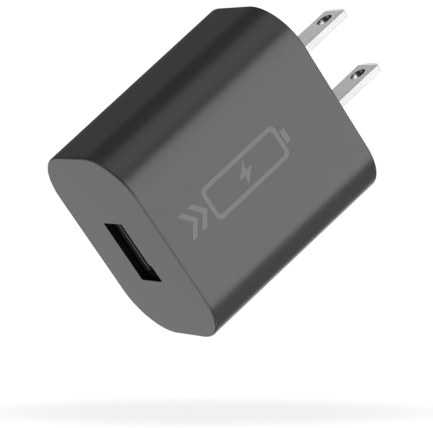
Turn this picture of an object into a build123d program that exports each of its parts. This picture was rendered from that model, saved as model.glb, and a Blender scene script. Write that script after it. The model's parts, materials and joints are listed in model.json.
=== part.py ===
from build123d import *
import os

# A compact USB wall charger for two-blade outlets, as an assembly of its separate pieces.
# Millimetres. The origin is the centre of the face that meets the wall, midway between the
# blades. +Y points into the wall along the blades, +X runs along the blade spacing, and +Z is up
# when the charger lies on its broad side. The USB socket is in the face at -Y.

# Outer body: a rounded block, a little larger at the wall end because of the moulding draft.
FRONT_WIDTH = 40.8
FRONT_HEIGHT = 28.2
REAR_WIDTH = 41.8
REAR_HEIGHT = 28.7
BODY_DEPTH = 43.9
CORNER_RADIUS = 9.6
EDGE_RADIUS = 0.35
WALL = 1.9
FRONT_WALL = 1.4

# Rear cover, set flush into a step in the housing's rim.
COVER_THICKNESS = 2.2
RIM_WALL = 1.1
COVER_GAP = 0.05
SKIRT_WALL = 1.3
SKIRT_DEPTH = 3.6
BOSS_LENGTH = 3.2
BOSS_WALL = 1.5
BOSS_CORNER = 0.8
COVER_CHAMFER = 0.2
RIB_SETBACK = 1.0
RIB_HALF = 0.6

# Plug blades.
BLADE_SPACING = 12.7
BLADE_WIDTH = 6.35
BLADE_THICKNESS = 1.52
BLADE_LENGTH = 18.5
BLADE_EDGE = 0.18
BLADE_HOLE_RADIUS = 1.6
BLADE_HOLE_Y = 14.6
TIP_CORNER_LENGTH = 1.1
TIP_CORNER_WIDTH = 1.7
TIP_BEVEL = 1.0
TIP_THICKNESS = 1.0
SHOULDER_WIDTH = 7.6
SHOULDER_Y = (-4.2, -2.6)
TAIL_WIDTH = 5.0
TAIL_Y = -9.0

# USB-A socket: the opening in the front wall, the metal shell and the plastic tongue.
PORT_X = 0.98
PORT_Z = -0.29
PORT_WIDTH = 13.2
PORT_HEIGHT = 7.0
PORT_CORNER = 0.4
# A lip narrows the opening's upper side. It ends short of the right side with a slanted end.
PORT_LIP = 0.9
PORT_LIP_LENGTH = 10.0
PORT_LIP_SLANT = 0.8
PORT_LIP_SETBACK = 0.1
SHELL_WIDTH = 13.1
SHELL_HEIGHT = 5.72
SHELL_SHEET = 0.3
SHELL_LENGTH = 13.9
TONGUE_WIDTH = 11.1
TONGUE_THICKNESS = 1.84
TONGUE_GAP = 0.64
TONGUE_LENGTH = 9.2
TONGUE_SETBACK = 0.05
TONGUE_CHAMFER = 0.2
CONTACT_OFFSETS = (-3.5, -1.0, 1.0, 3.5)
CONTACT_WIDTH = 1.0
CONTACT_SHEET = 0.25

# Circuit board, held by its long edges in rails of the housing, with the tall parts below it.
BOARD_WIDTH = 35.0
BOARD_Y = (-41.4, -10.4)
BOARD_THICKNESS = 1.6
BOARD_UNDER = PORT_Z + SHELL_HEIGHT / 2 + 0.03
BOARD_TOP = BOARD_UNDER + BOARD_THICKNESS
RAIL_REACH = 16.85
RAIL_THICKNESS = 1.2
RAIL_PLAY = 0.08
BOARD_SLOT_HALF = 8.0
BOARD_SLOT_Y = (-28.9, -28.1)
LEAD_HOLE_PLAY = 0.1
LEAD_STICKOUT = 0.9
SOLDER_HEIGHT = 0.65
SOLDER_SPREAD = 0.5
SOLDER_LIP = 0.1
SOLDER_CHAMFER = 0.2

# Transformer with two E-shaped core halves and a bobbin whose winding axis is along Y.
CORE_CENTRE = (0.0, -20.4, -4.4)
CORE_WIDTH = 16.0
CORE_LENGTH = 14.4
CORE_HEIGHT = 4.8
CENTRE_LEG = 4.0
OUTER_LEG = 2.0
CORE_BACK = 2.1
BOBBIN_PLAY = 0.1
BOBBIN_WALL = 0.9
FLANGE_WIDTH = 11.7
FLANGE_HEIGHT = 12.4
PRIMARY_BUILD = 1.4
SECONDARY_BUILD = 0.7
TAPE = 0.12
CORE_TAPE_HEIGHT = 4.2
WINDING_CORNER = 0.3
PIN_RADIUS = 0.3
PIN_OFFSETS = (-3.8, 0.0, 3.8)
PIN_START = 3.4
PIN_RAIL = 1.5

# Electrolytic capacitors: name, centre x and y, radius, length, lead spacing.
CAPACITORS = (
    ("input_capacitor_left", -12.7, -19.2, 4.0, 10.8, 3.5),
    ("input_capacitor_right", 12.7, -19.2, 4.0, 10.8, 3.5),
    ("output_capacitor", -12.6, -35.0, 4.0, 10.8, 3.5),
)
CAP_SLEEVE = 0.12
CAP_SEAL = 1.4
CAP_LEAD_RADIUS = 0.3
CAP_BOARD_GAP = 0.1
CAP_CRIMP = 0.3
CAP_EDGE = 0.5
CAP_BARE_END = 0.6
CAP_VENT = 0.3

# Filter inductor, a wound drum that stands beside the blades' springs.
INDUCTOR_X = 12.4
INDUCTOR_Y = -12.4
INDUCTOR_RADIUS = 2.3
INDUCTOR_HEIGHT = 6.0
INDUCTOR_FLANGE = 0.8
INDUCTOR_WIRE = 0.25
INDUCTOR_GAP = 0.3
INDUCTOR_DRUM = 0.5
INDUCTOR_FILL = 0.88
INDUCTOR_LEAD_SHARE = 0.6

# Parts with a lead at each end, lying along X: name, centre x and y, radius, length, lead spacing.
AXIAL_PARTS = (
    ("fuse_resistor", -11.6, -12.4, 1.5, 6.6, 8.0),
    ("output_diode", 12.2, -28.0, 1.35, 5.0, 7.0),
)
AXIAL_LEAD_RADIUS = 0.32
AXIAL_GAP = 0.4
AXIAL_WAIST = 0.86
AXIAL_CAP = 0.22
AXIAL_CAP_EDGE = 0.25
AXIAL_BEND = 0.5

# Disc capacitor that bridges the two sides of the supply.
DISC_X = -12.7
DISC_Y = -27.2
DISC_RADIUS = 3.9
DISC_THICKNESS = 2.8
DISC_LEAD_OFFSET = 2.5
DISC_LEAD_RADIUS = 0.28
DISC_GAP = 1.0
DISC_EDGE = 0.9

# Surface-mounted packages on the upper side: name, centre x and y, width, length, leads a side.
PACKAGES = (
    ("bridge_rectifier", 8.6, -15.8, 4.0, 4.7, 2),
    ("controller_ic", -6.2, -20.4, 3.9, 4.9, 4),
)
PACKAGE_HEIGHT = 1.5
PACKAGE_LIFT = 0.12
LEAD_FRAME = 0.2
LEAD_HALF_WIDTH = 0.2
LEAD_LEVEL = 0.45
LEAD_STEPS = (0.4, 0.6, 1.1)
LEAD_INNER_STEPS = (0.77, 0.57)
PACKAGE_CHAMFER = 0.25
PIN_MARK_INSET = 0.8
PIN_MARK_RADIUS = 0.3
PIN_MARK_DEPTH = 0.1

# Chip parts on the upper side: centre x and y of each.
CHIP_RESISTORS = ((-13.0, -16.2), (-12.6, -22.6), (-7.0, -25.6), (-2.0, -33.0), (3.0, -33.0), (10.8, -33.0))
CHIP_CAPACITORS = ((0.0, -13.0), (-13.2, -31.0), (6.6, -25.0), (12.4, -24.0))
CHIP_LENGTH = 2.0
CHIP_WIDTH = 1.25
CHIP_HEIGHT = 0.6
CHIP_CAPACITOR_HEIGHT = 1.1
CHIP_END = 0.35

# Spring contacts that carry the current from the blades' tails to the board.
SPRING_SHEET = 0.3
SPRING_Z = (-2.0, 2.2)
SPRING_ROOT_Y = -12.2
SPRING_TAB_WIDTH = 1.2
SPRING_OFFSET = 2.2
SPRING_RISE = 1.6
SPRING_END = 3.0
SPRING_FLARE = 1.1
SPRING_BEND = 0.6


def width_at(y):
    return REAR_WIDTH + (REAR_WIDTH - FRONT_WIDTH) * y / BODY_DEPTH


def height_at(y):
    return REAR_HEIGHT + (REAR_HEIGHT - FRONT_HEIGHT) * y / BODY_DEPTH


def box_between(low, high):
    """A box from its low corner to its high corner."""
    size = [b - a for a, b in zip(low, high)]
    middle = [(a + b) / 2 for a, b in zip(low, high)]
    return Pos(*middle) * Box(*size)


def trapezoid(half_from, half_to, y_from, y_to):
    """A symmetric outline whose half-width changes between two depths."""
    corners = [(half_from, y_from), (half_to, y_to), (-half_to, y_to), (-half_from, y_from)]
    return make_face(Polyline(*corners, close=True))


def body_prism(inset, y_from, y_to):
    """The body's drafted prism between two depths, moved inward by an inset."""
    half_widths = [width_at(y) / 2 - inset for y in (y_from, y_to)]
    half_heights = [height_at(y) / 2 - inset for y in (y_from, y_to)]
    plan = extrude(trapezoid(*half_widths, y_from, y_to), REAR_HEIGHT, both=True)
    side_plane = Plane(origin=(0, 0, 0), x_dir=(0, 0, 1), z_dir=(-1, 0, 0))
    side = extrude(side_plane * trapezoid(*half_heights, y_from, y_to), REAR_WIDTH, both=True)
    prism = plan & side
    long_edges = prism.edges().filter_by(lambda edge: abs(edge.tangent_at(0.5).Y) > 0.9)
    return fillet(long_edges, CORNER_RADIUS - inset)


def upright(x, y, z_from, z_to, radius):
    """A round pin along Z."""
    return Pos(x, y, (z_from + z_to) / 2) * Cylinder(radius, z_to - z_from)


def along_y(x, z, y_from, y_to, width, height, radius):
    """A bar along Y with a rounded rectangular section."""
    plane = Plane(origin=(x, y_from, z), x_dir=(1, 0, 0), z_dir=(0, 1, 0))
    return extrude(plane * RectangleRounded(width, height, radius), y_to - y_from)


def fuse_all(solids):
    """One node made of several solids that do not touch."""
    return Compound(children=[solid for group in solids for solid in group.solids()])


# ---------------------------------------------------------------- casing

def port_lip():
    """The lip along the opening's upper side, set back a little from the front face."""
    left = PORT_X - PORT_WIDTH / 2
    top = PORT_Z + PORT_HEIGHT / 2
    corners = [
        (left, top),
        (left, top - PORT_LIP),
        (left + PORT_LIP_LENGTH - PORT_LIP_SLANT, top - PORT_LIP),
        (left + PORT_LIP_LENGTH, top),
    ]
    plane = Plane(origin=(0, -BODY_DEPTH + PORT_LIP_SETBACK, 0), x_dir=(1, 0, 0), z_dir=(0, -1, 0))
    return extrude(plane * make_face(Polyline(*corners, close=True)), PORT_LIP_SETBACK - FRONT_WALL)


def port_opening():
    front = -BODY_DEPTH
    opening = along_y(PORT_X, PORT_Z, front, front + FRONT_WALL, PORT_WIDTH, PORT_HEIGHT, PORT_CORNER)
    return opening - port_lip()


def housing():
    outer = body_prism(0, -BODY_DEPTH, 0)
    front_edges = outer.faces().sort_by(Axis.Y)[0].edges()
    rear_edges = outer.faces().sort_by(Axis.Y)[-1].edges()
    outer = fillet(list(front_edges) + list(rear_edges), EDGE_RADIUS)
    shell = outer - body_prism(WALL, -BODY_DEPTH + FRONT_WALL, 0)
    shell -= body_prism(RIM_WALL, -COVER_THICKNESS, 0)
    shell -= port_opening()
    inner = body_prism(WALL, -BODY_DEPTH + FRONT_WALL, BOARD_Y[1])
    for side in (-1, 1):
        for z_low in (BOARD_UNDER - RAIL_PLAY - RAIL_THICKNESS, BOARD_TOP + RAIL_PLAY):
            far = side * REAR_WIDTH / 2
            near = side * RAIL_REACH
            low = (min(near, far), -BODY_DEPTH + FRONT_WALL, z_low)
            high = (max(near, far), BOARD_Y[1], z_low + RAIL_THICKNESS)
            shell += inner & box_between(low, high)
    return shell


def rear_cover():
    plate = body_prism(RIM_WALL + COVER_GAP, -COVER_THICKNESS, 0)
    plate = chamfer(plate.faces().sort_by(Axis.Y)[-1].edges(), COVER_CHAMFER)
    skirt_start = -COVER_THICKNESS - SKIRT_DEPTH
    skirt = body_prism(WALL + COVER_GAP, skirt_start, -COVER_THICKNESS)
    skirt -= body_prism(WALL + COVER_GAP + SKIRT_WALL, skirt_start, -COVER_THICKNESS)
    cover = plate + skirt
    boss_y = -COVER_THICKNESS - BOSS_LENGTH
    boss_height = SHOULDER_WIDTH + 2 * BOSS_WALL
    boss_width = BLADE_THICKNESS + 2 * BOSS_WALL
    for side in (-1, 1):
        x = side * BLADE_SPACING / 2
        cover += along_y(x, 0, boss_y, -COVER_THICKNESS, boss_width, boss_height, BOSS_CORNER)
        rib_end = side * (REAR_WIDTH / 2 - WALL - SKIRT_WALL)
        low = (min(x, rib_end), boss_y + RIB_SETBACK, -RIB_HALF)
        high = (max(x, rib_end), -COVER_THICKNESS, RIB_HALF)
        cover += box_between(low, high)
    half = BLADE_SPACING / 2 - BLADE_THICKNESS / 2
    cover += box_between((-half, boss_y + 1.0, -0.6), (half, -COVER_THICKNESS, 0.6))
    for side in (-1, 1):
        cover -= blade(side)
    return cover


def blade_outline():
    """The blade seen from its broad side, in Y and Z."""
    half = BLADE_WIDTH / 2
    tail = TAIL_WIDTH / 2
    shoulder = SHOULDER_WIDTH / 2
    upper = [
        (TAIL_Y, tail),
        (SHOULDER_Y[0], tail),
        (SHOULDER_Y[0], shoulder),
        (SHOULDER_Y[1], shoulder),
        (SHOULDER_Y[1], half),
        (BLADE_LENGTH - TIP_CORNER_LENGTH, half),
        (BLADE_LENGTH, half - TIP_CORNER_WIDTH),
    ]
    lower = [(y, -z) for y, z in reversed(upper)]
    return make_face(Polyline(*upper, *lower, close=True))


def blade_edge_view():
    """The blade seen from its thin edge, in X and Y, with the bevelled tip."""
    half = BLADE_THICKNESS / 2
    tip = TIP_THICKNESS / 2
    right = [(half, TAIL_Y), (half, BLADE_LENGTH - TIP_BEVEL), (tip, BLADE_LENGTH)]
    left = [(-x, y) for x, y in reversed(right)]
    return make_face(Polyline(*right, *left, close=True))


def blade(side):
    flat = Plane(origin=(0, 0, 0), x_dir=(0, 1, 0), z_dir=(1, 0, 0)) * blade_outline()
    sheet = extrude(flat, BLADE_THICKNESS / 2, both=True)
    bevelled = extrude(blade_edge_view(), SHOULDER_WIDTH, both=True)
    rounded = along_y(0, 0, SHOULDER_Y[1], BLADE_LENGTH + 1, BLADE_THICKNESS, BLADE_WIDTH, BLADE_EDGE)
    root = box_between((-2, TAIL_Y, -SHOULDER_WIDTH), (2, SHOULDER_Y[1], SHOULDER_WIDTH))
    metal = (sheet & bevelled) & (rounded + root)
    hole = Pos(0, BLADE_HOLE_Y, 0) * Rot(0, 90, 0) * Cylinder(BLADE_HOLE_RADIUS, 4 * BLADE_THICKNESS)
    return Pos(side * BLADE_SPACING / 2, 0, 0) * (metal - hole)


def blade_spring(side):
    """A bent leaf that presses on the inner face of a blade's tail, with a tab through the board."""
    contact = BLADE_SPACING / 2 - BLADE_THICKNESS / 2 - SPRING_SHEET / 2
    path = [
        (contact - SPRING_OFFSET, SPRING_ROOT_Y),
        (contact - SPRING_OFFSET, SPRING_ROOT_Y + SPRING_RISE),
        (contact, TAIL_Y + SPRING_RISE),
        (contact - SPRING_FLARE, TAIL_Y + SPRING_END),
    ]
    centre_line = FilletPolyline(*path, radius=SPRING_BEND)
    strip = make_face(offset(centre_line, SPRING_SHEET / 2, side=Side.BOTH))
    leaf = extrude(Pos(0, 0, SPRING_Z[0]) * strip, SPRING_Z[1] - SPRING_Z[0])
    x = contact - SPRING_OFFSET
    low = (x - SPRING_SHEET / 2, SPRING_ROOT_Y, SPRING_Z[1])
    high = (x + SPRING_SHEET / 2, SPRING_ROOT_Y + SPRING_TAB_WIDTH, BOARD_TOP + LEAD_STICKOUT)
    leaf += box_between(low, high)
    return leaf if side > 0 else mirror(leaf, Plane.YZ)


# ---------------------------------------------------------------- USB socket

SHELL_FRONT = -BODY_DEPTH + FRONT_WALL
SHELL_LOW = PORT_Z - SHELL_HEIGHT / 2
TONGUE_LOW = SHELL_LOW + SHELL_SHEET + TONGUE_GAP
TONGUE_HIGH = TONGUE_LOW + TONGUE_THICKNESS
TONGUE_FRONT = SHELL_FRONT + TONGUE_SETBACK
TONGUE_ROOT = TONGUE_FRONT + TONGUE_LENGTH
SHELL_REAR = SHELL_FRONT + SHELL_LENGTH
CONTACT_LEG_Y = SHELL_REAR - 1.3
LEG_SHOULDER = 0.2
CONTACT_PROUD = 0.05
CONTACT_SETBACK = 0.7
SHELL_TAB_X = SHELL_WIDTH / 2 - SHELL_SHEET / 2
SHELL_TAB_Y = (SHELL_FRONT + 4.0, SHELL_FRONT + 11.4)
SHELL_TAB_WIDTH = 1.6
SHELL_BEND = 0.7
SHELL_PLAY = 0.05
SHELL_REAR_GAP = 1.2
FINGER_X = 3.1
FINGER_Y = 5.3
FINGER_SIZE = (2.1, 4.6)
FINGER_SLOT = 0.3


def usb_shell():
    tube = along_y(PORT_X, PORT_Z, SHELL_FRONT, SHELL_REAR, SHELL_WIDTH, SHELL_HEIGHT, SHELL_BEND)
    tube -= along_y(PORT_X, PORT_Z, SHELL_FRONT, SHELL_REAR - SHELL_SHEET,
                    SHELL_WIDTH - 2 * SHELL_SHEET, SHELL_HEIGHT - 2 * SHELL_SHEET, SHELL_BEND - SHELL_SHEET)
    # The board side is open behind the tongue's root, where the contacts leave the socket.
    gap_half = SHELL_WIDTH / 2 - SHELL_REAR_GAP
    tube -= box_between((PORT_X - gap_half, TONGUE_ROOT, PORT_Z + 1),
                        (PORT_X + gap_half, SHELL_REAR + 1, PORT_Z + SHELL_HEIGHT))
    # Two spring fingers in each broad wall, each freed by a U-shaped slot.
    for wall_z in (SHELL_LOW + SHELL_SHEET / 2, PORT_Z + SHELL_HEIGHT / 2 - SHELL_SHEET / 2):
        for x in (PORT_X - FINGER_X, PORT_X + FINGER_X):
            slot_size = (FINGER_SIZE[0] + 2 * FINGER_SLOT, FINGER_SIZE[1], 4 * SHELL_SHEET)
            slot = Pos(x, SHELL_FRONT + FINGER_Y - FINGER_SLOT, wall_z) * Box(*slot_size)
            finger = Pos(x, SHELL_FRONT + FINGER_Y, wall_z) * Box(*FINGER_SIZE, 6 * SHELL_SHEET)
            tube -= slot - finger
    for side in (-1, 1):
        for y in SHELL_TAB_Y:
            x = PORT_X + side * SHELL_TAB_X
            low = (x - SHELL_SHEET / 2, y - SHELL_TAB_WIDTH / 2, PORT_Z)
            high = (x + SHELL_SHEET / 2, y + SHELL_TAB_WIDTH / 2, BOARD_TOP + LEAD_STICKOUT)
            tube += box_between(low, high)
    return tube


def usb_tongue():
    low = (PORT_X - TONGUE_WIDTH / 2, TONGUE_FRONT, TONGUE_LOW)
    high = (PORT_X + TONGUE_WIDTH / 2, TONGUE_ROOT, TONGUE_HIGH)
    plate = box_between(low, high)
    plate = chamfer(plate.faces().sort_by(Axis.Y)[0].edges(), TONGUE_CHAMFER)
    block_width = SHELL_WIDTH - 2 * (SHELL_SHEET + SHELL_PLAY)
    block_height = SHELL_HEIGHT - 2 * (SHELL_SHEET + SHELL_PLAY)
    block_end = SHELL_REAR - SHELL_SHEET - SHELL_PLAY
    block_corner = SHELL_BEND - SHELL_SHEET
    plate += along_y(PORT_X, PORT_Z, TONGUE_ROOT, block_end, block_width, block_height, block_corner)
    for offset_x in CONTACT_OFFSETS:
        plate -= usb_contact(offset_x)
    return plate


def usb_contact(offset_x):
    """A flat strip set into the tongue's upper side, with a leg up through the board."""
    x_low = PORT_X + offset_x - CONTACT_WIDTH / 2
    x_high = x_low + CONTACT_WIDTH
    strip_low = TONGUE_HIGH - CONTACT_SHEET + CONTACT_PROUD
    strip = box_between((x_low, TONGUE_FRONT + CONTACT_SETBACK, strip_low),
                        (x_high, CONTACT_LEG_Y, strip_low + CONTACT_SHEET))
    leg = box_between((x_low + LEG_SHOULDER, CONTACT_LEG_Y - CONTACT_SHEET, strip_low),
                      (x_high - LEG_SHOULDER, CONTACT_LEG_Y, BOARD_TOP + LEAD_STICKOUT))
    return strip + leg


# ---------------------------------------------------------------- circuit board

def round_leads():
    """Every round lead that crosses the board: x, y and radius."""
    leads = []
    for _, x, y, _, _, spacing in CAPACITORS:
        leads += [(x - spacing / 2, y, CAP_LEAD_RADIUS), (x + spacing / 2, y, CAP_LEAD_RADIUS)]
    for _, x, y, _, _, spacing in AXIAL_PARTS:
        leads += [(x - spacing / 2, y, AXIAL_LEAD_RADIUS), (x + spacing / 2, y, AXIAL_LEAD_RADIUS)]
    for sign in (-1, 1):
        leads.append((DISC_X + sign * DISC_LEAD_OFFSET, DISC_Y, DISC_LEAD_RADIUS))
        leads.append((INDUCTOR_X + sign * INDUCTOR_RADIUS * INDUCTOR_LEAD_SHARE, INDUCTOR_Y, INDUCTOR_WIRE))
    leads += [(x, y, PIN_RADIUS) for x, y in transformer_pin_sites()]
    return leads


def flat_leads():
    """Every flat tab that crosses the board: centre x and y, size along X and along Y."""
    tabs = []
    for offset_x in CONTACT_OFFSETS:
        leg_y = CONTACT_LEG_Y - CONTACT_SHEET / 2
        tabs.append((PORT_X + offset_x, leg_y, CONTACT_WIDTH - 2 * LEG_SHOULDER, CONTACT_SHEET))
    for side in (-1, 1):
        for y in SHELL_TAB_Y:
            tabs.append((PORT_X + side * SHELL_TAB_X, y, SHELL_SHEET, SHELL_TAB_WIDTH))
        spring_x = BLADE_SPACING / 2 - BLADE_THICKNESS / 2 - SPRING_SHEET / 2 - SPRING_OFFSET
        tabs.append((side * spring_x, SPRING_ROOT_Y + SPRING_TAB_WIDTH / 2, SPRING_SHEET, SPRING_TAB_WIDTH))
    return tabs


def main_board():
    half = BOARD_WIDTH / 2
    board = box_between((-half, BOARD_Y[0], BOARD_UNDER), (half, BOARD_Y[1], BOARD_TOP))
    # A slot between the two sides of the supply lengthens the path over the board's surface.
    board -= box_between((-BOARD_SLOT_HALF, BOARD_SLOT_Y[0], BOARD_UNDER),
                         (BOARD_SLOT_HALF, BOARD_SLOT_Y[1], BOARD_TOP))
    for x, y, radius in round_leads():
        board -= upright(x, y, BOARD_UNDER, BOARD_TOP, radius + LEAD_HOLE_PLAY)
    for x, y, size_x, size_y in flat_leads():
        board -= Pos(x, y, (BOARD_UNDER + BOARD_TOP) / 2) * Box(
            size_x + 2 * LEAD_HOLE_PLAY, size_y + 2 * LEAD_HOLE_PLAY, BOARD_THICKNESS)
    return board


def solder_joints():
    """A small cone of solder around every lead, on the board's upper side."""
    joints = []
    for x, y, radius in round_leads():
        cone = Cone(radius + SOLDER_SPREAD, radius + SOLDER_LIP, SOLDER_HEIGHT)
        cone = Pos(x, y, BOARD_TOP + SOLDER_HEIGHT / 2) * cone
        joints.append(cone - upright(x, y, BOARD_TOP, BOARD_TOP + SOLDER_HEIGHT, radius))
    for x, y, size_x, size_y in flat_leads():
        mound = Pos(x, y, BOARD_TOP + SOLDER_HEIGHT / 2) * Box(
            size_x + SOLDER_SPREAD, size_y + SOLDER_SPREAD, SOLDER_HEIGHT)
        mound = chamfer(mound.faces().sort_by(Axis.Z)[-1].edges(), SOLDER_CHAMFER)
        joints.append(mound - Pos(x, y, BOARD_TOP) * Box(size_x, size_y, 3 * SOLDER_HEIGHT))
    return fuse_all(joints)


# ---------------------------------------------------------------- transformer

def transformer_pin_sites():
    rear = CORE_CENTRE[1] + CORE_LENGTH / 2 - CORE_BACK - BOBBIN_WALL / 2
    front = CORE_CENTRE[1] - CORE_LENGTH / 2 + CORE_BACK + BOBBIN_WALL / 2
    sites = [(CORE_CENTRE[0] + x, rear) for x in PIN_OFFSETS]
    sites += [(CORE_CENTRE[0] + x, front) for x in PIN_OFFSETS]
    return sites


def transformer_core(side):
    """One E-shaped half, with its three legs pointing to the other half."""
    x, y, z = CORE_CENTRE
    half = CORE_HEIGHT / 2
    outer_y = y + side * CORE_LENGTH / 2
    back_y = outer_y - side * CORE_BACK
    low_y, high_y = sorted((outer_y, back_y))
    side_x = CORE_WIDTH / 2
    core = box_between((x - side_x, low_y, z - half), (x + side_x, high_y, z + half))
    low_y, high_y = sorted((outer_y, y))
    outer_x = side_x - OUTER_LEG / 2
    for leg_x, leg_width in ((x - outer_x, OUTER_LEG), (x, CENTRE_LEG), (x + outer_x, OUTER_LEG)):
        low = (leg_x - leg_width / 2, low_y, z - half)
        high = (leg_x + leg_width / 2, high_y, z + half)
        core += box_between(low, high)
    return core


def winding_ring(inner_build, outer_build, length):
    """A rectangular ring around the bobbin's tube, between two distances from the tube's surface."""
    x, y, z = CORE_CENTRE
    tube_width = CENTRE_LEG + 2 * (BOBBIN_PLAY + BOBBIN_WALL)
    tube_height = CORE_HEIGHT + 2 * (BOBBIN_PLAY + BOBBIN_WALL)
    rings = []
    for build in (outer_build, inner_build):
        width = tube_width + 2 * build
        height = tube_height + 2 * build
        rings.append(along_y(x, z, y - length / 2, y + length / 2, width, height, build + WINDING_CORNER))
    return rings[0] - rings[1]


WINDOW_LENGTH = CORE_LENGTH - 2 * CORE_BACK
WINDING_LENGTH = WINDOW_LENGTH - 2 * (BOBBIN_PLAY + BOBBIN_WALL)


def transformer_bobbin():
    x, y, z = CORE_CENTRE
    half_length = WINDOW_LENGTH / 2 - BOBBIN_PLAY
    tube_width = CENTRE_LEG + 2 * (BOBBIN_PLAY + BOBBIN_WALL)
    tube_height = CORE_HEIGHT + 2 * (BOBBIN_PLAY + BOBBIN_WALL)
    tube = along_y(x, z, y - half_length, y + half_length, tube_width, tube_height, WINDING_CORNER)
    hole_size = (CENTRE_LEG + 2 * BOBBIN_PLAY, 2 * CORE_LENGTH, CORE_HEIGHT + 2 * BOBBIN_PLAY)
    leg_hole = Pos(x, y, z) * Box(*hole_size)
    for side in (-1, 1):
        flange_y = y + side * (WINDOW_LENGTH / 2 - BOBBIN_PLAY - BOBBIN_WALL / 2)
        tube += Pos(x, flange_y, z) * Box(FLANGE_WIDTH, BOBBIN_WALL, FLANGE_HEIGHT)
        rail_low = z + FLANGE_HEIGHT / 2
        tube += box_between((x - FLANGE_WIDTH / 2, flange_y - BOBBIN_WALL / 2, rail_low - PIN_RAIL),
                            (x + FLANGE_WIDTH / 2, flange_y + BOBBIN_WALL / 2, BOARD_UNDER))
    tube -= leg_hole
    for pin_x, pin_y in transformer_pin_sites():
        tube -= upright(pin_x, pin_y, z + PIN_START, BOARD_UNDER, PIN_RADIUS)
    return tube


def transformer_pins():
    pins = [upright(x, y, CORE_CENTRE[2] + PIN_START, BOARD_TOP + LEAD_STICKOUT, PIN_RADIUS)
            for x, y in transformer_pin_sites()]
    return fuse_all(pins)


def primary_winding():
    return winding_ring(0, PRIMARY_BUILD, WINDING_LENGTH)


def layer_tape():
    return winding_ring(PRIMARY_BUILD, PRIMARY_BUILD + TAPE, WINDING_LENGTH)


def secondary_winding():
    return winding_ring(PRIMARY_BUILD + TAPE, PRIMARY_BUILD + TAPE + SECONDARY_BUILD, WINDING_LENGTH)


def outer_tape():
    start = PRIMARY_BUILD + TAPE + SECONDARY_BUILD
    return winding_ring(start, start + TAPE, WINDING_LENGTH)


def core_tape():
    """The band that holds the two core halves together."""
    x, y, z = CORE_CENTRE
    band = Box(CORE_WIDTH + 2 * TAPE, CORE_LENGTH + 2 * TAPE, CORE_TAPE_HEIGHT)
    return Pos(x, y, z) * (band - Box(CORE_WIDTH, CORE_LENGTH, CORE_HEIGHT))


# ---------------------------------------------------------------- hanging parts

def capacitor_can(x, y, radius, length):
    top = BOARD_UNDER - CAP_BOARD_GAP
    can = upright(x, y, top - length, top, radius - CAP_SLEEVE)
    can = fillet(can.faces().sort_by(Axis.Z)[0].edges(), CAP_EDGE)
    can -= upright(x, y, top - CAP_SEAL, top, radius - CAP_SLEEVE - CAP_CRIMP)
    for angle in (0, 90):
        can -= Pos(x, y, top - length) * Rot(0, 0, angle) * Box(radius, CAP_VENT, CAP_VENT)
    return can


def capacitor_sleeve(x, y, radius, length):
    top = BOARD_UNDER - CAP_BOARD_GAP
    bottom = top - length + CAP_BARE_END
    return upright(x, y, bottom, top, radius) - upright(x, y, bottom, top, radius - CAP_SLEEVE)


def capacitor_seal(x, y, radius, spacing):
    top = BOARD_UNDER - CAP_BOARD_GAP
    seal = upright(x, y, top - CAP_SEAL, top, radius - CAP_SLEEVE - CAP_CRIMP)
    return seal - capacitor_leads(x, y, spacing)


def capacitor_leads(x, y, spacing):
    bottom = BOARD_UNDER - CAP_BOARD_GAP - CAP_SEAL
    return fuse_all([upright(x + sign * spacing / 2, y, bottom, BOARD_TOP + LEAD_STICKOUT, CAP_LEAD_RADIUS)
                     for sign in (-1, 1)])


def inductor_core():
    top = BOARD_UNDER - INDUCTOR_GAP
    bottom = top - INDUCTOR_HEIGHT
    core = upright(INDUCTOR_X, INDUCTOR_Y, bottom, top, INDUCTOR_RADIUS * INDUCTOR_DRUM)
    core += upright(INDUCTOR_X, INDUCTOR_Y, bottom, bottom + INDUCTOR_FLANGE, INDUCTOR_RADIUS)
    core += upright(INDUCTOR_X, INDUCTOR_Y, top - INDUCTOR_FLANGE, top, INDUCTOR_RADIUS)
    return core - inductor_leads()


def inductor_winding():
    top = BOARD_UNDER - INDUCTOR_GAP - INDUCTOR_FLANGE
    bottom = top - INDUCTOR_HEIGHT + 2 * INDUCTOR_FLANGE
    wire = upright(INDUCTOR_X, INDUCTOR_Y, bottom, top, INDUCTOR_RADIUS * INDUCTOR_FILL)
    return wire - upright(INDUCTOR_X, INDUCTOR_Y, bottom, top, INDUCTOR_RADIUS * INDUCTOR_DRUM)


def inductor_leads():
    bottom = BOARD_UNDER - INDUCTOR_GAP - INDUCTOR_FLANGE
    return fuse_all([upright(INDUCTOR_X + sign * INDUCTOR_RADIUS * INDUCTOR_LEAD_SHARE, INDUCTOR_Y, bottom,
                             BOARD_TOP + LEAD_STICKOUT, INDUCTOR_WIRE) for sign in (-1, 1)])


def axial_body(x, y, radius, length):
    """A cylinder along X with swollen end caps."""
    z = BOARD_UNDER - radius - AXIAL_GAP
    body = Pos(x, y, z) * Rot(0, 90, 0) * Cylinder(radius * AXIAL_WAIST, length)
    for sign in (-1, 1):
        cap = Rot(0, 90, 0) * Cylinder(radius, length * AXIAL_CAP)
        cap = fillet(cap.edges(), radius * AXIAL_CAP_EDGE)
        body += Pos(x + sign * length * (1 - AXIAL_CAP) / 2, y, z) * cap
    return body


def axial_leads(x, y, radius, length, spacing):
    """Two bent wires from the body's ends up through the board."""
    z = BOARD_UNDER - radius - AXIAL_GAP
    leads = []
    for sign in (-1, 1):
        start = (x + sign * length / 2, y, z)
        corner = (x + sign * spacing / 2, y, z)
        end = (x + sign * spacing / 2, y, BOARD_TOP + LEAD_STICKOUT)
        route = FilletPolyline(start, corner, end, radius=AXIAL_BEND)
        section = Plane(origin=start, z_dir=(sign, 0, 0)) * Circle(AXIAL_LEAD_RADIUS)
        leads.append(sweep(section, path=route))
    return fuse_all(leads)


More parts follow.
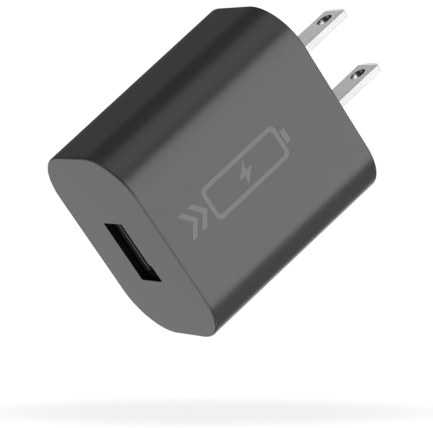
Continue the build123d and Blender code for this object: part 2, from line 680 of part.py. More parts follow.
def disc_capacitor():
    z = BOARD_UNDER - DISC_RADIUS - DISC_GAP
    disc = Rot(90, 0, 0) * Cylinder(DISC_RADIUS, DISC_THICKNESS)
    disc = fillet(disc.edges(), DISC_EDGE)
    return Pos(DISC_X, DISC_Y, z) * disc - disc_leads()


def disc_leads():
    z = BOARD_UNDER - DISC_RADIUS - DISC_GAP
    end = BOARD_TOP + LEAD_STICKOUT
    return fuse_all([upright(DISC_X + sign * DISC_LEAD_OFFSET, DISC_Y, z, end, DISC_LEAD_RADIUS)
                     for sign in (-1, 1)])


# ---------------------------------------------------------------- surface-mounted parts

def package_body(x, y, width, length):
    z = BOARD_TOP + PACKAGE_LIFT + PACKAGE_HEIGHT / 2
    body = Pos(x, y, z) * Box(width, length, PACKAGE_HEIGHT)
    body = chamfer(body.faces().sort_by(Axis.Z)[-1].edges(), PACKAGE_CHAMFER)
    mark_x = x - width / 2 + PIN_MARK_INSET
    mark_y = y + length / 2 - PIN_MARK_INSET
    top = BOARD_TOP + PACKAGE_LIFT + PACKAGE_HEIGHT
    return body - upright(mark_x, mark_y, top - PIN_MARK_DEPTH, top, PIN_MARK_RADIUS)


def package_leads(x, y, width, length, count):
    """Gull-wing leads along both long sides."""
    pitch = length / count
    shoulder = BOARD_TOP + PACKAGE_LIFT + PACKAGE_HEIGHT * LEAD_LEVEL
    profile = [
        (width / 2, shoulder),
        (width / 2 + LEAD_STEPS[0], shoulder),
        (width / 2 + LEAD_STEPS[1], BOARD_TOP),
        (width / 2 + LEAD_STEPS[2], BOARD_TOP),
        (width / 2 + LEAD_STEPS[2], BOARD_TOP + LEAD_FRAME),
        (width / 2 + LEAD_INNER_STEPS[0], BOARD_TOP + LEAD_FRAME),
        (width / 2 + LEAD_INNER_STEPS[1], shoulder + LEAD_FRAME),
        (width / 2, shoulder + LEAD_FRAME),
    ]
    lead = extrude(Plane.XZ * make_face(Polyline(*profile, close=True)), LEAD_HALF_WIDTH, both=True)
    leads = []
    for index in range(count):
        lead_y = y + (index - (count - 1) / 2) * pitch
        leads.append(Pos(x, lead_y, 0) * lead)
        leads.append(Pos(x, lead_y, 0) * mirror(lead, Plane.YZ))
    return fuse_all(leads)


def chip_bodies(sites, height):
    length = CHIP_LENGTH - 2 * CHIP_END
    return fuse_all([Pos(x, y, BOARD_TOP + height / 2) * Box(length, CHIP_WIDTH, height) for x, y in sites])


def chip_ends(sites, height):
    ends = []
    for x, y in sites:
        for sign in (-1, 1):
            end_x = x + sign * (CHIP_LENGTH - CHIP_END) / 2
            ends.append(Pos(end_x, y, BOARD_TOP + height / 2) * Box(CHIP_END, CHIP_WIDTH, height))
    return fuse_all(ends)


# ---------------------------------------------------------------- assembly

def all_nodes():
    """Every piece of the charger, by its node name."""
    nodes = {
        "housing": housing(),
        "rear_cover": rear_cover(),
        "blade_left": blade(-1),
        "blade_right": blade(1),
        "blade_spring_left": blade_spring(-1),
        "blade_spring_right": blade_spring(1),
        "main_board": main_board(),
        "solder_joints": solder_joints(),
        "usb_shell": usb_shell(),
        "usb_tongue": usb_tongue(),
        "transformer_core_front": transformer_core(-1),
        "transformer_core_rear": transformer_core(1),
        "transformer_bobbin": transformer_bobbin(),
        "transformer_pins": transformer_pins(),
        "primary_winding": primary_winding(),
        "layer_tape": layer_tape(),
        "secondary_winding": secondary_winding(),
        "outer_tape": outer_tape(),
        "core_tape": core_tape(),
        "inductor_core": inductor_core(),
        "inductor_winding": inductor_winding(),
        "inductor_leads": inductor_leads(),
        "disc_capacitor": disc_capacitor(),
        "disc_capacitor_leads": disc_leads(),
        "chip_resistors": chip_bodies(CHIP_RESISTORS, CHIP_HEIGHT),
        "chip_resistor_ends": chip_ends(CHIP_RESISTORS, CHIP_HEIGHT),
        "chip_capacitors": chip_bodies(CHIP_CAPACITORS, CHIP_CAPACITOR_HEIGHT),
        "chip_capacitor_ends": chip_ends(CHIP_CAPACITORS, CHIP_CAPACITOR_HEIGHT),
    }
    for number, offset_x in enumerate(CONTACT_OFFSETS, start=1):
        nodes[f"usb_contact_{number}"] = usb_contact(offset_x)
    for name, x, y, radius, length, spacing in CAPACITORS:
        nodes[f"{name}_can"] = capacitor_can(x, y, radius, length)
        nodes[f"{name}_sleeve"] = capacitor_sleeve(x, y, radius, length)
        nodes[f"{name}_seal"] = capacitor_seal(x, y, radius, spacing)
        nodes[f"{name}_leads"] = capacitor_leads(x, y, spacing)
    for name, x, y, radius, length, spacing in AXIAL_PARTS:
        nodes[name] = axial_body(x, y, radius, length)
        nodes[f"{name}_leads"] = axial_leads(x, y, radius, length, spacing)
    for name, x, y, width, length, count in PACKAGES:
        nodes[name] = package_body(x, y, width, length)
        nodes[f"{name}_leads"] = package_leads(x, y, width, length, count)
    return nodes


os.makedirs("parts", exist_ok=True)
for node_name, shape in all_nodes().items():
    export_step(shape, f"parts/{node_name}.step")
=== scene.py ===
import json
import math

import bmesh
import bpy
from mathutils import Matrix, Vector


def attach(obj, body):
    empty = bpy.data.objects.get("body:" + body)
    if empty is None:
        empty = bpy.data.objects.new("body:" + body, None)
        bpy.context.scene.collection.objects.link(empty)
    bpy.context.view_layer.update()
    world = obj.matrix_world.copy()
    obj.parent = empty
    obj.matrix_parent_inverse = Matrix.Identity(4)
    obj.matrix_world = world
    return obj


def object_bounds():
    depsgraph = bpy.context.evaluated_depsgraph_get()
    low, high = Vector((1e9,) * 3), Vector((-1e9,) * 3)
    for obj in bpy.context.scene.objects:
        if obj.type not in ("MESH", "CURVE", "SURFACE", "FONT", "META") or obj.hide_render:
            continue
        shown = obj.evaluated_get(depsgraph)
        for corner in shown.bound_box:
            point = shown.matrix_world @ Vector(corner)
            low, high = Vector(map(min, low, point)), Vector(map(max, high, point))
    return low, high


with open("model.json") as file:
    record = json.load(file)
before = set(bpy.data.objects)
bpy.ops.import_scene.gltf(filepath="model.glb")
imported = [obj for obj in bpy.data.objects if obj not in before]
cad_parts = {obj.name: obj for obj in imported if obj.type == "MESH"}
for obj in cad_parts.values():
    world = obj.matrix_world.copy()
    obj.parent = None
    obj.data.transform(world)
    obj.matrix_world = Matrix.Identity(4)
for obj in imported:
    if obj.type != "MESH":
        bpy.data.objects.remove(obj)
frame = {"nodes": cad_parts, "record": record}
cad_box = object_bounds()
nodes = frame["nodes"]
scene = bpy.context.scene

MM = 0.001
# A wave texture of scale 1 repeats about every third of a unit.
WAVE_PERIOD = 3.18


# ---------------------------------------------------------------- node helpers

class Shader:
    """A Principled material and short calls for its procedural nodes."""

    def __init__(self, name, roughness=0.5, metallic=0.0, ior=1.5, specular=0.5):
        self.material = bpy.data.materials.new(name)
        self.material.use_nodes = True
        self.tree = self.material.node_tree
        self.tree.nodes.clear()
        self.output = self.tree.nodes.new("ShaderNodeOutputMaterial")
        self.bsdf = self.tree.nodes.new("ShaderNodeBsdfPrincipled")
        self.link(self.bsdf.outputs["BSDF"], self.output.inputs["Surface"])
        self.bsdf.inputs["Roughness"].default_value = roughness
        self.bsdf.inputs["Metallic"].default_value = metallic
        self.bsdf.inputs["IOR"].default_value = ior
        self.bsdf.inputs["Specular IOR Level"].default_value = specular
        coordinates = self.tree.nodes.new("ShaderNodeTexCoord")
        self.object_space = coordinates.outputs["Object"]
        self.normal = None

    def link(self, source, target):
        self.tree.links.new(source, target)

    def stretched(self, scale):
        """Object coordinates scaled differently along each axis, for drawn or brushed grain."""
        mapping = self.tree.nodes.new("ShaderNodeMapping")
        mapping.inputs["Scale"].default_value = scale
        self.link(self.object_space, mapping.inputs["Vector"])
        return mapping.outputs["Vector"]

    def noise(self, scale, detail=4.0, vector=None):
        texture = self.tree.nodes.new("ShaderNodeTexNoise")
        texture.inputs["Scale"].default_value = scale
        texture.inputs["Detail"].default_value = detail
        self.link(vector or self.object_space, texture.inputs["Vector"])
        return texture.outputs["Fac"]

    def wave(self, turns_per_mm, axis):
        """Even ridges across one axis, such as the turns of a winding."""
        texture = self.tree.nodes.new("ShaderNodeTexWave")
        texture.bands_direction = axis
        texture.inputs["Scale"].default_value = turns_per_mm / MM / WAVE_PERIOD
        texture.inputs["Distortion"].default_value = 0.0
        self.link(self.object_space, texture.inputs["Vector"])
        return texture.outputs["Fac"]

    def along(self, axis, start_mm, end_mm):
        """A number that runs from 0 to 1 between two places along one axis."""
        parts = self.tree.nodes.new("ShaderNodeSeparateXYZ")
        self.link(self.object_space, parts.inputs["Vector"])
        node = self.tree.nodes.new("ShaderNodeMapRange")
        node.inputs["From Min"].default_value = start_mm * MM
        node.inputs["From Max"].default_value = end_mm * MM
        self.link(parts.outputs[axis], node.inputs["Value"])
        return node.outputs["Result"]

    def inside(self, box):
        """1 inside a box and 0 outside it; the box is a centre and a half size in mm for X, Y and Z."""
        parts = self.tree.nodes.new("ShaderNodeSeparateXYZ")
        self.link(self.object_space, parts.inputs["Vector"])
        product = None
        for axis, (centre, half_size) in zip("XYZ", box):
            test = self.tree.nodes.new("ShaderNodeMath")
            test.operation = "COMPARE"
            self.link(parts.outputs[axis], test.inputs[0])
            test.inputs[1].default_value = centre * MM
            test.inputs[2].default_value = half_size * MM
            if product is None:
                product = test.outputs[0]
                continue
            both = self.tree.nodes.new("ShaderNodeMath")
            both.operation = "MULTIPLY"
            self.link(product, both.inputs[0])
            self.link(test.outputs[0], both.inputs[1])
            product = both.outputs[0]
        return product

    def facing(self, axis, value, tolerance):
        """1 on faces whose normal has about this value along an axis, else 0."""
        geometry = self.tree.nodes.new("ShaderNodeNewGeometry")
        parts = self.tree.nodes.new("ShaderNodeSeparateXYZ")
        self.link(geometry.outputs["True Normal"], parts.inputs["Vector"])
        test = self.tree.nodes.new("ShaderNodeMath")
        test.operation = "COMPARE"
        self.link(parts.outputs[axis], test.inputs[0])
        test.inputs[1].default_value = value
        test.inputs[2].default_value = tolerance
        return test.outputs[0]

    def dimmed(self, colour, mask, factor):
        """The colour, made darker by a factor where the mask is 1."""
        node = self.tree.nodes.new("ShaderNodeHueSaturation")
        self.link(colour, node.inputs["Color"])
        self.link(self.spread(mask, 1.0, factor), node.inputs["Value"])
        return node.outputs["Color"]

    def ramp(self, source, low, high, start=0.35, end=0.65):
        """A colour that runs from low to high as the source goes from start to end."""
        node = self.tree.nodes.new("ShaderNodeValToRGB")
        node.color_ramp.elements[0].position = start
        node.color_ramp.elements[0].color = (*low, 1.0)
        node.color_ramp.elements[1].position = end
        node.color_ramp.elements[1].color = (*high, 1.0)
        self.link(source, node.inputs["Fac"])
        return node.outputs["Color"]

    def spread(self, source, low, high):
        """A number that runs from low to high as the source goes from 0 to 1."""
        node = self.tree.nodes.new("ShaderNodeMapRange")
        node.inputs["To Min"].default_value = low
        node.inputs["To Max"].default_value = high
        self.link(source, node.inputs["Value"])
        return node.outputs["Result"]

    def colour(self, source):
        self.link(source, self.bsdf.inputs["Base Color"])

    def roughness(self, source, low, high):
        self.link(self.spread(source, low, high), self.bsdf.inputs["Roughness"])

    def bump(self, source, depth_mm):
        node = self.tree.nodes.new("ShaderNodeBump")
        node.inputs["Strength"].default_value = 1.0
        node.inputs["Distance"].default_value = depth_mm * MM
        self.link(source, node.inputs["Height"])
        if self.normal:
            self.link(self.normal, node.inputs["Normal"])
        self.normal = node.outputs["Normal"]
        self.link(self.normal, self.bsdf.inputs["Normal"])


def tinted(colour, factor):
    """The colour with every channel multiplied by a factor."""
    return tuple(channel * factor for channel in colour)


# ---------------------------------------------------------------- materials

FULL_SPECULAR = 0.5
# Painted shade inside the socket opening: its lowered specular and how far its colour is dimmed.
OPENING_SHADE_SPECULAR = 0.1
OPENING_PAINTED_SHADE = 0.15
# How dark the painted dark reflection on the blades' tip corners is.
PAINTED_DARK_REFLECTION_DIMMING = 0.02


def moulded_plastic(name, colour, roughness, grain_mm=0.16, grain_depth_mm=0.004, painted_shade_box=None):
    """Satin moulded plastic with a fine spark-eroded grain, with painted shade inside a box such as an
    opening.
    """
    shader = Shader(name, roughness)
    flow = shader.noise(60.0, detail=3.0, vector=shader.stretched((1.0, 0.35, 1.0)))
    tone = shader.ramp(flow, tinted(colour, 0.95), tinted(colour, 1.05))
    # Painted shade: the plastic is darker and less glossy inside the box.
    if painted_shade_box:
        mask = shader.inside(painted_shade_box)
        tone = shader.dimmed(tone, mask, OPENING_PAINTED_SHADE)
        specular = shader.spread(mask, FULL_SPECULAR, OPENING_SHADE_SPECULAR)
        shader.link(specular, shader.bsdf.inputs["Specular IOR Level"])
    shader.colour(tone)
    grain = shader.noise(1.0 / (grain_mm * MM), detail=2.0)
    shader.roughness(grain, roughness - 0.03, roughness + 0.03)
    shader.bump(grain, grain_depth_mm)
    return shader.material


def plated_metal(name, colour, roughness, drawn=(1.0, 1.0, 1.0), grain_mm=0.25, grain_depth_mm=0.002,
                 painted_dark_reflection=None):
    """Rolled and plated metal: fine lines along one direction, a faint cloudy tone and a painted dark
    reflection on faces of a given facing.
    """
    shader = Shader(name, roughness, metallic=1.0)
    cloud = shader.noise(220.0, detail=3.0)
    tone = shader.ramp(cloud, tinted(colour, 0.93), tinted(colour, 1.04))
    # Painted dark reflection: faces of the given facing turn black and stop reflecting.
    if painted_dark_reflection:
        dark_reflection_mask = shader.facing("Y", *painted_dark_reflection)
        tone = shader.dimmed(tone, dark_reflection_mask, PAINTED_DARK_REFLECTION_DIMMING)
        shader.link(shader.spread(dark_reflection_mask, 1.0, 0.0), shader.bsdf.inputs["Metallic"])
        shader.link(shader.spread(dark_reflection_mask, FULL_SPECULAR, 0.0), shader.bsdf.inputs["Specular IOR Level"])
    shader.colour(tone)
    lines = shader.noise(1.0 / (grain_mm * MM), detail=3.0, vector=shader.stretched(drawn))
    shader.roughness(lines, roughness - 0.05, roughness + 0.06)
    shader.bump(lines, grain_depth_mm)
    return shader.material


def wound_wire(name, colour, roughness, turns_per_mm):
    """Enamelled wire laid turn beside turn along Y, with painted shade in the grooves between turns."""
    shader = Shader(name, roughness, metallic=1.0)
    turns = shader.wave(turns_per_mm, "Y")
    # Painted shade: the colour is darker in the grooves between turns.
    shader.colour(shader.ramp(turns, tinted(colour, 0.35), colour, start=0.0, end=0.6))
    shader.roughness(shader.noise(900.0), roughness - 0.05, roughness + 0.1)
    shader.bump(turns, 0.08)
    return shader.material


def tongue_plastic(name, colour, highlight_colour, highlight_z):
    """Dark insulator with a painted highlight, a paler band, along the tongue's lower side."""
    shader = Shader(name, 0.5, specular=0.03)
    painted_highlight = shader.along("Z", *highlight_z)
    shader.colour(shader.ramp(painted_highlight, highlight_colour, colour, start=0.5, end=0.8))
    grain = shader.noise(5000.0, detail=2.0)
    shader.roughness(grain, 0.45, 0.55)
    shader.bump(grain, 0.004)
    return shader.material


# The space inside the socket's opening: a centre and a half size in mm along X, Y and Z. Its walls get
# painted shade.
PORT_PAINTED_SHADE_BOX = ((0.98, 6.65), (-42.6, 1.25), (-0.79, 3.06))

# The blades' sheared tip corners get a painted dark reflection: the Y part of their normal, and a tolerance.
TIP_CORNER_PAINTED_DARK_FACING = (0.840, 0.03)

# The painted highlight along the tongue's lower edge, from full tone to none, in mm along Z.
TONGUE_PAINTED_HIGHLIGHT_Z = (-2.05, -1.60)

HOUSING_GREY = (0.030, 0.030, 0.0304)
COVER_GREY = (0.034, 0.034, 0.0345)

SLOT_LOOKS = {
    "housing_plastic": moulded_plastic("housing_plastic", HOUSING_GREY, 0.30, painted_shade_box=PORT_PAINTED_SHADE_BOX),
    "cover_plastic": moulded_plastic("cover_plastic", COVER_GREY, 0.42, grain_mm=0.3, grain_depth_mm=0.01),
    "blade_metal": plated_metal("blade_metal", (0.305, 0.303, 0.298), 0.22, drawn=(1.0, 0.06, 1.0),
                                painted_dark_reflection=TIP_CORNER_PAINTED_DARK_FACING),
    "spring_bronze": plated_metal("spring_bronze", (0.60, 0.40, 0.22), 0.3),
    "socket_steel": plated_metal("socket_steel", (0.42, 0.42, 0.43), 0.3, drawn=(1.0, 0.1, 1.0)),
    # The tongue's paler colour is a painted highlight along its lower edge.
    "socket_insulator": tongue_plastic("socket_insulator", (0.005, 0.005, 0.005), (0.17, 0.17, 0.17),
                                       TONGUE_PAINTED_HIGHLIGHT_Z),
    "contact_gold": plated_metal("contact_gold", (0.80, 0.58, 0.24), 0.25),
    "board_laminate": moulded_plastic("board_laminate", (0.012, 0.09, 0.035), 0.3),
    "solder": plated_metal("solder", (0.62, 0.63, 0.65), 0.28, grain_mm=0.5, grain_depth_mm=0.01),
    "ferrite": moulded_plastic("ferrite", (0.03, 0.03, 0.032), 0.6, grain_mm=0.2, grain_depth_mm=0.02),
    "bobbin_plastic": moulded_plastic("bobbin_plastic", (0.012, 0.012, 0.013), 0.4),
    "copper_wire": wound_wire("copper_wire", (0.62, 0.24, 0.09), 0.25, 3.0),
    "insulation_tape": moulded_plastic("insulation_tape", (0.62, 0.42, 0.03), 0.22),
    "capacitor_aluminium": plated_metal("capacitor_aluminium", (0.72, 0.72, 0.73), 0.3),
    "capacitor_sleeve": moulded_plastic("capacitor_sleeve", (0.008, 0.016, 0.022), 0.2),
    "capacitor_seal": moulded_plastic("capacitor_seal", (0.01, 0.01, 0.01), 0.7),
    "tinned_wire": plated_metal("tinned_wire", (0.66, 0.66, 0.67), 0.25),
    "package_epoxy": moulded_plastic("package_epoxy", (0.01, 0.01, 0.011), 0.55,
                                     grain_mm=0.1, grain_depth_mm=0.006),
    "disc_coating": moulded_plastic("disc_coating", (0.02, 0.09, 0.30), 0.25),
    "resistor_coating": moulded_plastic("resistor_coating", (0.16, 0.24, 0.15), 0.3),
    "chip_ceramic": moulded_plastic("chip_ceramic", (0.28, 0.17, 0.08), 0.5),
}


def dress_cad_nodes():
    """Give every carried-over CAD node the material of its slot."""
    for part in frame["record"]["subparts"]:
        mesh = nodes[part["node"]].data
        mesh.materials.clear()
        mesh.materials.append(SLOT_LOOKS[part["material_slot"]])


# ---------------------------------------------------------------- printed mark

# A generic charging sign: two chevrons that point to a battery with a lightning bolt.
# Its outlines are in millimetres, first along the charger's depth and then toward -X.
MARK_X = -1.55
MARK_Y = -25.9
MARK_INK = 0.015
MARK_ROOT = 0.01
FRONT_HALF_HEIGHT = 14.10
REAR_HALF_HEIGHT = 14.35
BODY_DEPTH = 43.9
BATTERY_LEFT = -7.4
BATTERY_RIGHT = 11.8
BATTERY_HALF_HEIGHT = 3.5
BATTERY_CORNER = 1.3
BATTERY_STROKE = 0.85
NUB = [(12.2, -1.3), (13.3, -1.3), (13.3, 1.3), (12.2, 1.3)]
BOLT = [(3.1, 2.3), (0.3, -0.4), (1.9, -0.4), (1.3, -2.3), (4.1, 0.4), (2.5, 0.4)]
CHEVRON = [(0.0, 2.6), (1.2, 2.6), (3.2, 0.0), (1.2, -2.6), (0.0, -2.6), (2.0, 0.0)]
CHEVRON_STARTS = (-13.6, -11.1)
CORNER_STEPS = 6


def rounded_outline(left, right, half_height, radius):
    """A rounded rectangle, counter-clockwise, with the same number of points for any size."""
    centres = [
        (right - radius, half_height - radius, 0),
        (left + radius, half_height - radius, 90),
        (left + radius, radius - half_height, 180),
        (right - radius, radius - half_height, 270),
    ]
    points = []
    for u, v, start in centres:
        for step in range(CORNER_STEPS + 1):
            angle = math.radians(start + 90 * step / CORNER_STEPS)
            points.append((u + radius * math.cos(angle), v + radius * math.sin(angle)))
    return points


def on_broad_side(point, lift):
    """A point of the mark on the drafted broad side, lifted by some millimetres."""
    y = MARK_Y + point[0]
    rise = (REAR_HALF_HEIGHT - FRONT_HALF_HEIGHT) * (y + BODY_DEPTH) / BODY_DEPTH
    return Vector((MARK_X - point[1], y, FRONT_HALF_HEIGHT + rise + lift)) * MM


def add_ring(shape, outer, inner):
    """A flat ring of ink between two outlines, with its side walls."""
    edges = ((outer, -MARK_ROOT), (outer, MARK_INK), (inner, MARK_INK), (inner, -MARK_ROOT))
    loops = [[shape.verts.new(on_broad_side(point, lift)) for point in outline] for outline, lift in edges]
    for index in range(len(loops)):
        here = loops[index]
        there = loops[(index + 1) % len(loops)]
        for step in range(len(here)):
            following = (step + 1) % len(here)
            shape.faces.new((here[step], here[following], there[following], there[step]))


def add_patch(shape, outline):
    """A flat patch of ink with its side walls."""
    low = [shape.verts.new(on_broad_side(point, -MARK_ROOT)) for point in outline]
    high = [shape.verts.new(on_broad_side(point, MARK_INK)) for point in outline]
    shape.faces.new(high)
    shape.faces.new(list(reversed(low)))
    for step in range(len(outline)):
        following = (step + 1) % len(outline)
        shape.faces.new((low[step], low[following], high[following], high[step]))


def make_mark():
    """The printed charging sign, as one thin piece of ink on the housing."""
    shape = bmesh.new()
    outer = rounded_outline(BATTERY_LEFT, BATTERY_RIGHT, BATTERY_HALF_HEIGHT, BATTERY_CORNER)
    inner = rounded_outline(BATTERY_LEFT + BATTERY_STROKE, BATTERY_RIGHT - BATTERY_STROKE,
                            BATTERY_HALF_HEIGHT - BATTERY_STROKE, BATTERY_CORNER - BATTERY_STROKE / 2)
    add_ring(shape, outer, inner)
    add_patch(shape, NUB)
    add_patch(shape, BOLT)
    for start in CHEVRON_STARTS:
        add_patch(shape, [(start + u, v) for u, v in CHEVRON])
    bmesh.ops.recalc_face_normals(shape, faces=shape.faces)
    mesh = bpy.data.meshes.new("charging_mark")
    shape.to_mesh(mesh)
    shape.free()
    mark = bpy.data.objects.new("charging_mark", mesh)
    scene.collection.objects.link(mark)
    mesh.materials.append(moulded_plastic("mark_ink", (0.082, 0.081, 0.082), 0.30))
    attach(mark, "root")


# ---------------------------------------------------------------- camera

# The camera looks down at the port end and the broad side, turned about its own line of sight.
CAMERA_PLACE = Vector((-151.3, -199.8, 363.0)) * MM
CAMERA_RIGHT = Vector((0.513332, 0.665598, 0.541728))
CAMERA_UP = Vector((-0.776634, 0.628879, -0.036753))
CAMERA_LENS = 197.85
SENSOR_WIDTH = 36.0
CLIP_START = 0.01
CLIP_END = 20.0


def make_camera():
    """The camera, set by its place and by the directions to its right and up."""
    data = bpy.data.cameras.new("camera")
    data.lens = CAMERA_LENS
    data.sensor_fit = "HORIZONTAL"
    data.sensor_width = SENSOR_WIDTH
    data.clip_start = CLIP_START
    data.clip_end = CLIP_END
    camera = bpy.data.objects.new("camera", data)
    scene.collection.objects.link(camera)
    right = CAMERA_RIGHT.normalized()
    back = right.cross(CAMERA_UP).normalized()
    up = back.cross(right)
    turn = Matrix((right, up, back)).transposed().to_4x4()
    camera.matrix_world = Matrix.Translation(CAMERA_PLACE) @ turn
    scene.camera = camera


# ---------------------------------------------------------------- light and floor

BODY_CENTRE = Vector((0.0, -22.0, 0.0)) * MM
LIGHT_DISTANCE = 1.0
ALONG_X = (1.0, 0.0, 0.0)
ALONG_Y = (0.0, 1.0, 0.0)

# Each softbox: direction from the charger, width, length along its long axis, radiance and, where it
# isn't the charger's depth, the long axis.
SOFTBOXES = {
    "key": ((0.16, 0.40, 0.90), 1.545, 1.10, 2.88),
    "left_strip": ((-0.87, 0.40, 0.28), 0.72, 1.10, 0.78),
    "left_low": ((-0.31, 0.40, -0.86), 0.60, 1.10, 0.06),
    "right_low_strip": ((0.64, 0.40, -0.65), 0.34, 1.10, 1.12),
    "front_low": ((0.365, -0.402, -0.84), 0.80, 0.80, 0.93),
    "front_high": ((0.365, -0.80, 0.48), 2.20, 0.90, 2.1, ALONG_X),
    "front_left": ((-0.64, -0.72, -0.28), 0.60, 0.60, 0.9),
    "front_level": ((0.05, -1.0, 0.0), 0.50, 0.50, 0.8, ALONG_X),
    "right_level": ((1.0, -0.10, 0.0), 0.35, 0.50, 0.8),
    "rear_right": ((0.66, 0.72, -0.24), 0.40, 0.50, 0.8),
    "rear_level": ((0.0, 1.0, 0.15), 0.60, 0.40, 0.6, ALONG_X),
}
# Small cards that only the blades see, so that polished metal and dark plastic can be lit apart.
BLADE_CARDS = {
    "blade_side_card": ((-0.40, 0.36, -0.84), 0.50, 0.50, 0.90),
    "blade_tip_card": ((-0.08, 0.56, -0.82), 0.24, 0.40, 1.7),
    "blade_left_card": ((-0.84, 0.40, 0.37), 0.50, 0.80, 3.0),
    "blade_right_card": ((0.91, 0.40, -0.10), 1.90, 0.60, 1.6),
}
PLASTIC_ONLY = ("left_strip", "left_low", "right_low_strip", "rear_right", "rear_level")
# These two would shine into the socket and the blade holes, so the shell and the blades are left out.
PLAIN_PLASTIC_ONLY = ("front_low", "front_high")
FLOOR_LAMP = ((-0.76, 0.07, 0.64), 0.10, 0.90, 14.0, (0.61, 0.79, 0.0))


def softbox(name, receivers, direction, width, length, radiance, long_axis=ALONG_Y):
    """A rectangular light that faces the charger, runs along an axis and lights only some pieces."""
    toward = Vector(direction).normalized()
    data = bpy.data.lights.new(name, "AREA")
    data.shape = "RECTANGLE"
    data.size = width
    data.size_y = length
    data.energy = radiance * math.pi * width * length
    light = bpy.data.objects.new(name, data)
    scene.collection.objects.link(light)
    side = Vector(long_axis).cross(toward).normalized()
    turn = Matrix((side, toward.cross(side), toward)).transposed().to_4x4()
    light.matrix_world = Matrix.Translation(BODY_CENTRE + toward * LIGHT_DISTANCE) @ turn
    light.visible_camera = False
    light.light_linking.receiver_collection = receivers


FLOOR_GAP = 62 * MM
FLOOR_RADIUS = 2.5
FLOOR_RIM = 1.2
RIM_STEPS = 12
WALL_RISE = 2.5
FLOOR_SEGMENTS = 64
PAPER_DARK = (0.30, 0.30, 0.30)
PAPER_LIGHT = (0.31, 0.31, 0.31)
# A painted soft shadow strip on the floor, where it glows less: centre, direction, half length and half
# width.
SHADOW_STRIP_CENTRE = Vector((74.4, -16.3, 0.0)) * MM
SHADOW_STRIP_ANGLE = math.radians(48.4)
SHADOW_STRIP_HALF_LENGTH = 100 * MM
SHADOW_STRIP_HALF_WIDTH = 4.4 * MM
SHADOW_STRIP_CORE = 0.7
FLOOR_GLOW = 0.97
PAINTED_SHADOW_DROP = 0.155


def floor_shader():
    """Pale paper that glows evenly, less so along a painted soft shadow strip."""
    shader = Shader("studio_floor", 0.9, specular=0.1)
    paper = shader.noise(3.0, detail=2.0)
    shader.colour(shader.ramp(paper, PAPER_DARK, PAPER_LIGHT))
    mapping = shader.tree.nodes.new("ShaderNodeMapping")
    mapping.vector_type = "TEXTURE"
    mapping.inputs["Location"].default_value = SHADOW_STRIP_CENTRE
    mapping.inputs["Rotation"].default_value = (0.0, 0.0, SHADOW_STRIP_ANGLE)
    mapping.inputs["Scale"].default_value = (SHADOW_STRIP_HALF_LENGTH, SHADOW_STRIP_HALF_WIDTH, 1000.0)
    shader.link(shader.object_space, mapping.inputs["Vector"])
    shadow_falloff = shader.tree.nodes.new("ShaderNodeTexGradient")
    shadow_falloff.gradient_type = "SPHERICAL"
    shader.link(mapping.outputs["Vector"], shadow_falloff.inputs["Vector"])
    # Painted shadow: the floor glows less along the strip.
    shadowed_glow = shader.tree.nodes.new("ShaderNodeMapRange")
    shadowed_glow.interpolation_type = "SMOOTHSTEP"
    shadowed_glow.inputs["From Max"].default_value = SHADOW_STRIP_CORE
    shadowed_glow.inputs["To Min"].default_value = FLOOR_GLOW
    shadowed_glow.inputs["To Max"].default_value = FLOOR_GLOW - PAINTED_SHADOW_DROP
    shader.link(shadow_falloff.outputs["Fac"], shadowed_glow.inputs["Value"])
    shader.bsdf.inputs["Emission Color"].default_value = (1.0, 1.0, 1.0, 1.0)
    shader.link(shadowed_glow.outputs["Result"], shader.bsdf.inputs["Emission Strength"])
    return shader.material


def floor_profile():
    """Radius and rise of each ring of the floor: flat, then curved up, then a low wall."""
    profile = [(FLOOR_RADIUS * share, 0.0) for share in (0.0, 0.5, 1.0)]
    for step in range(1, RIM_STEPS + 1):
        angle = math.radians(90 * step / RIM_STEPS)
        profile.append((FLOOR_RADIUS + FLOOR_RIM * math.sin(angle), FLOOR_RIM * (1 - math.cos(angle))))
    profile.append((FLOOR_RADIUS + FLOOR_RIM, FLOOR_RIM * WALL_RISE))
    return profile


def floor_ring(shape, radius, height):
    """One ring of points, or the single point at the middle."""
    if radius == 0:
        return [shape.verts.new((0.0, 0.0, height))]
    ring = []
    for step in range(FLOOR_SEGMENTS):
        angle = math.tau * step / FLOOR_SEGMENTS
        ring.append(shape.verts.new((radius * math.cos(angle), radius * math.sin(angle), height)))
    return ring


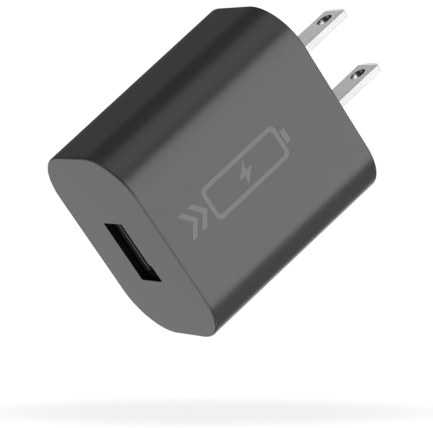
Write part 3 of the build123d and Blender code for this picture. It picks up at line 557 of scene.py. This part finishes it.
def make_floor():
    """A round pale floor that curves up into a low wall all round, like a studio sweep."""
    base = cad_box[0][2] - FLOOR_GAP
    shape = bmesh.new()
    rings = [floor_ring(shape, radius, base + rise) for radius, rise in floor_profile()]
    for inner, outer in zip(rings, rings[1:]):
        for step in range(FLOOR_SEGMENTS):
            following = (step + 1) % FLOOR_SEGMENTS
            if len(inner) == 1:
                shape.faces.new((inner[0], outer[step], outer[following]))
            else:
                shape.faces.new((inner[step], outer[step], outer[following], inner[following]))
    mesh = bpy.data.meshes.new("studio_floor")
    shape.to_mesh(mesh)
    shape.free()
    mesh.shade_smooth()
    mesh.materials.append(floor_shader())
    floor = bpy.data.objects.new("studio_floor", mesh)
    scene.collection.objects.link(floor)
    floor.visible_glossy = False
    floor.visible_diffuse = False
    floor.visible_shadow = False
    return floor


def collection_of(name, members):
    """A collection that lights can be limited to."""
    group = bpy.data.collections.new(name)
    for member in members:
        group.objects.link(member)
    return group


WORLD_STRENGTH = 0.13


def make_world():
    """Even white surroundings, much weaker than the softboxes."""
    world = bpy.data.worlds.new("studio")
    world.use_nodes = True
    background = world.node_tree.nodes["Background"]
    background.inputs["Color"].default_value = (1.0, 1.0, 1.0, 1.0)
    background.inputs["Strength"].default_value = WORLD_STRENGTH
    scene.world = world


def light_scene(floor):
    """All the lights, each limited to the pieces that it is meant for."""
    charger = [piece for piece in scene.objects if piece.type == "MESH" and piece is not floor]
    charger_group = collection_of("lit_charger", charger)
    blades = [nodes["blade_left"], nodes["blade_right"]]
    body_group = collection_of("lit_body", [piece for piece in charger if piece not in blades])
    blade_group = collection_of("lit_blades", blades)
    floor_group = collection_of("lit_floor", [floor])
    plain_plastic = [piece for piece in charger if piece not in blades + [nodes["usb_shell"]]]
    plain_group = collection_of("lit_plain_plastic", plain_plastic)
    groups = {name: body_group for name in PLASTIC_ONLY}
    groups.update({name: plain_group for name in PLAIN_PLASTIC_ONLY})
    for name, box in SOFTBOXES.items():
        softbox(name, groups.get(name, charger_group), *box)
    for name, box in BLADE_CARDS.items():
        softbox(name, blade_group, *box)
    softbox("floor_lamp", floor_group, *FLOOR_LAMP)


dress_cad_nodes()
make_mark()
make_camera()
make_world()
light_scene(make_floor())
scene.view_settings.view_transform = "Standard"
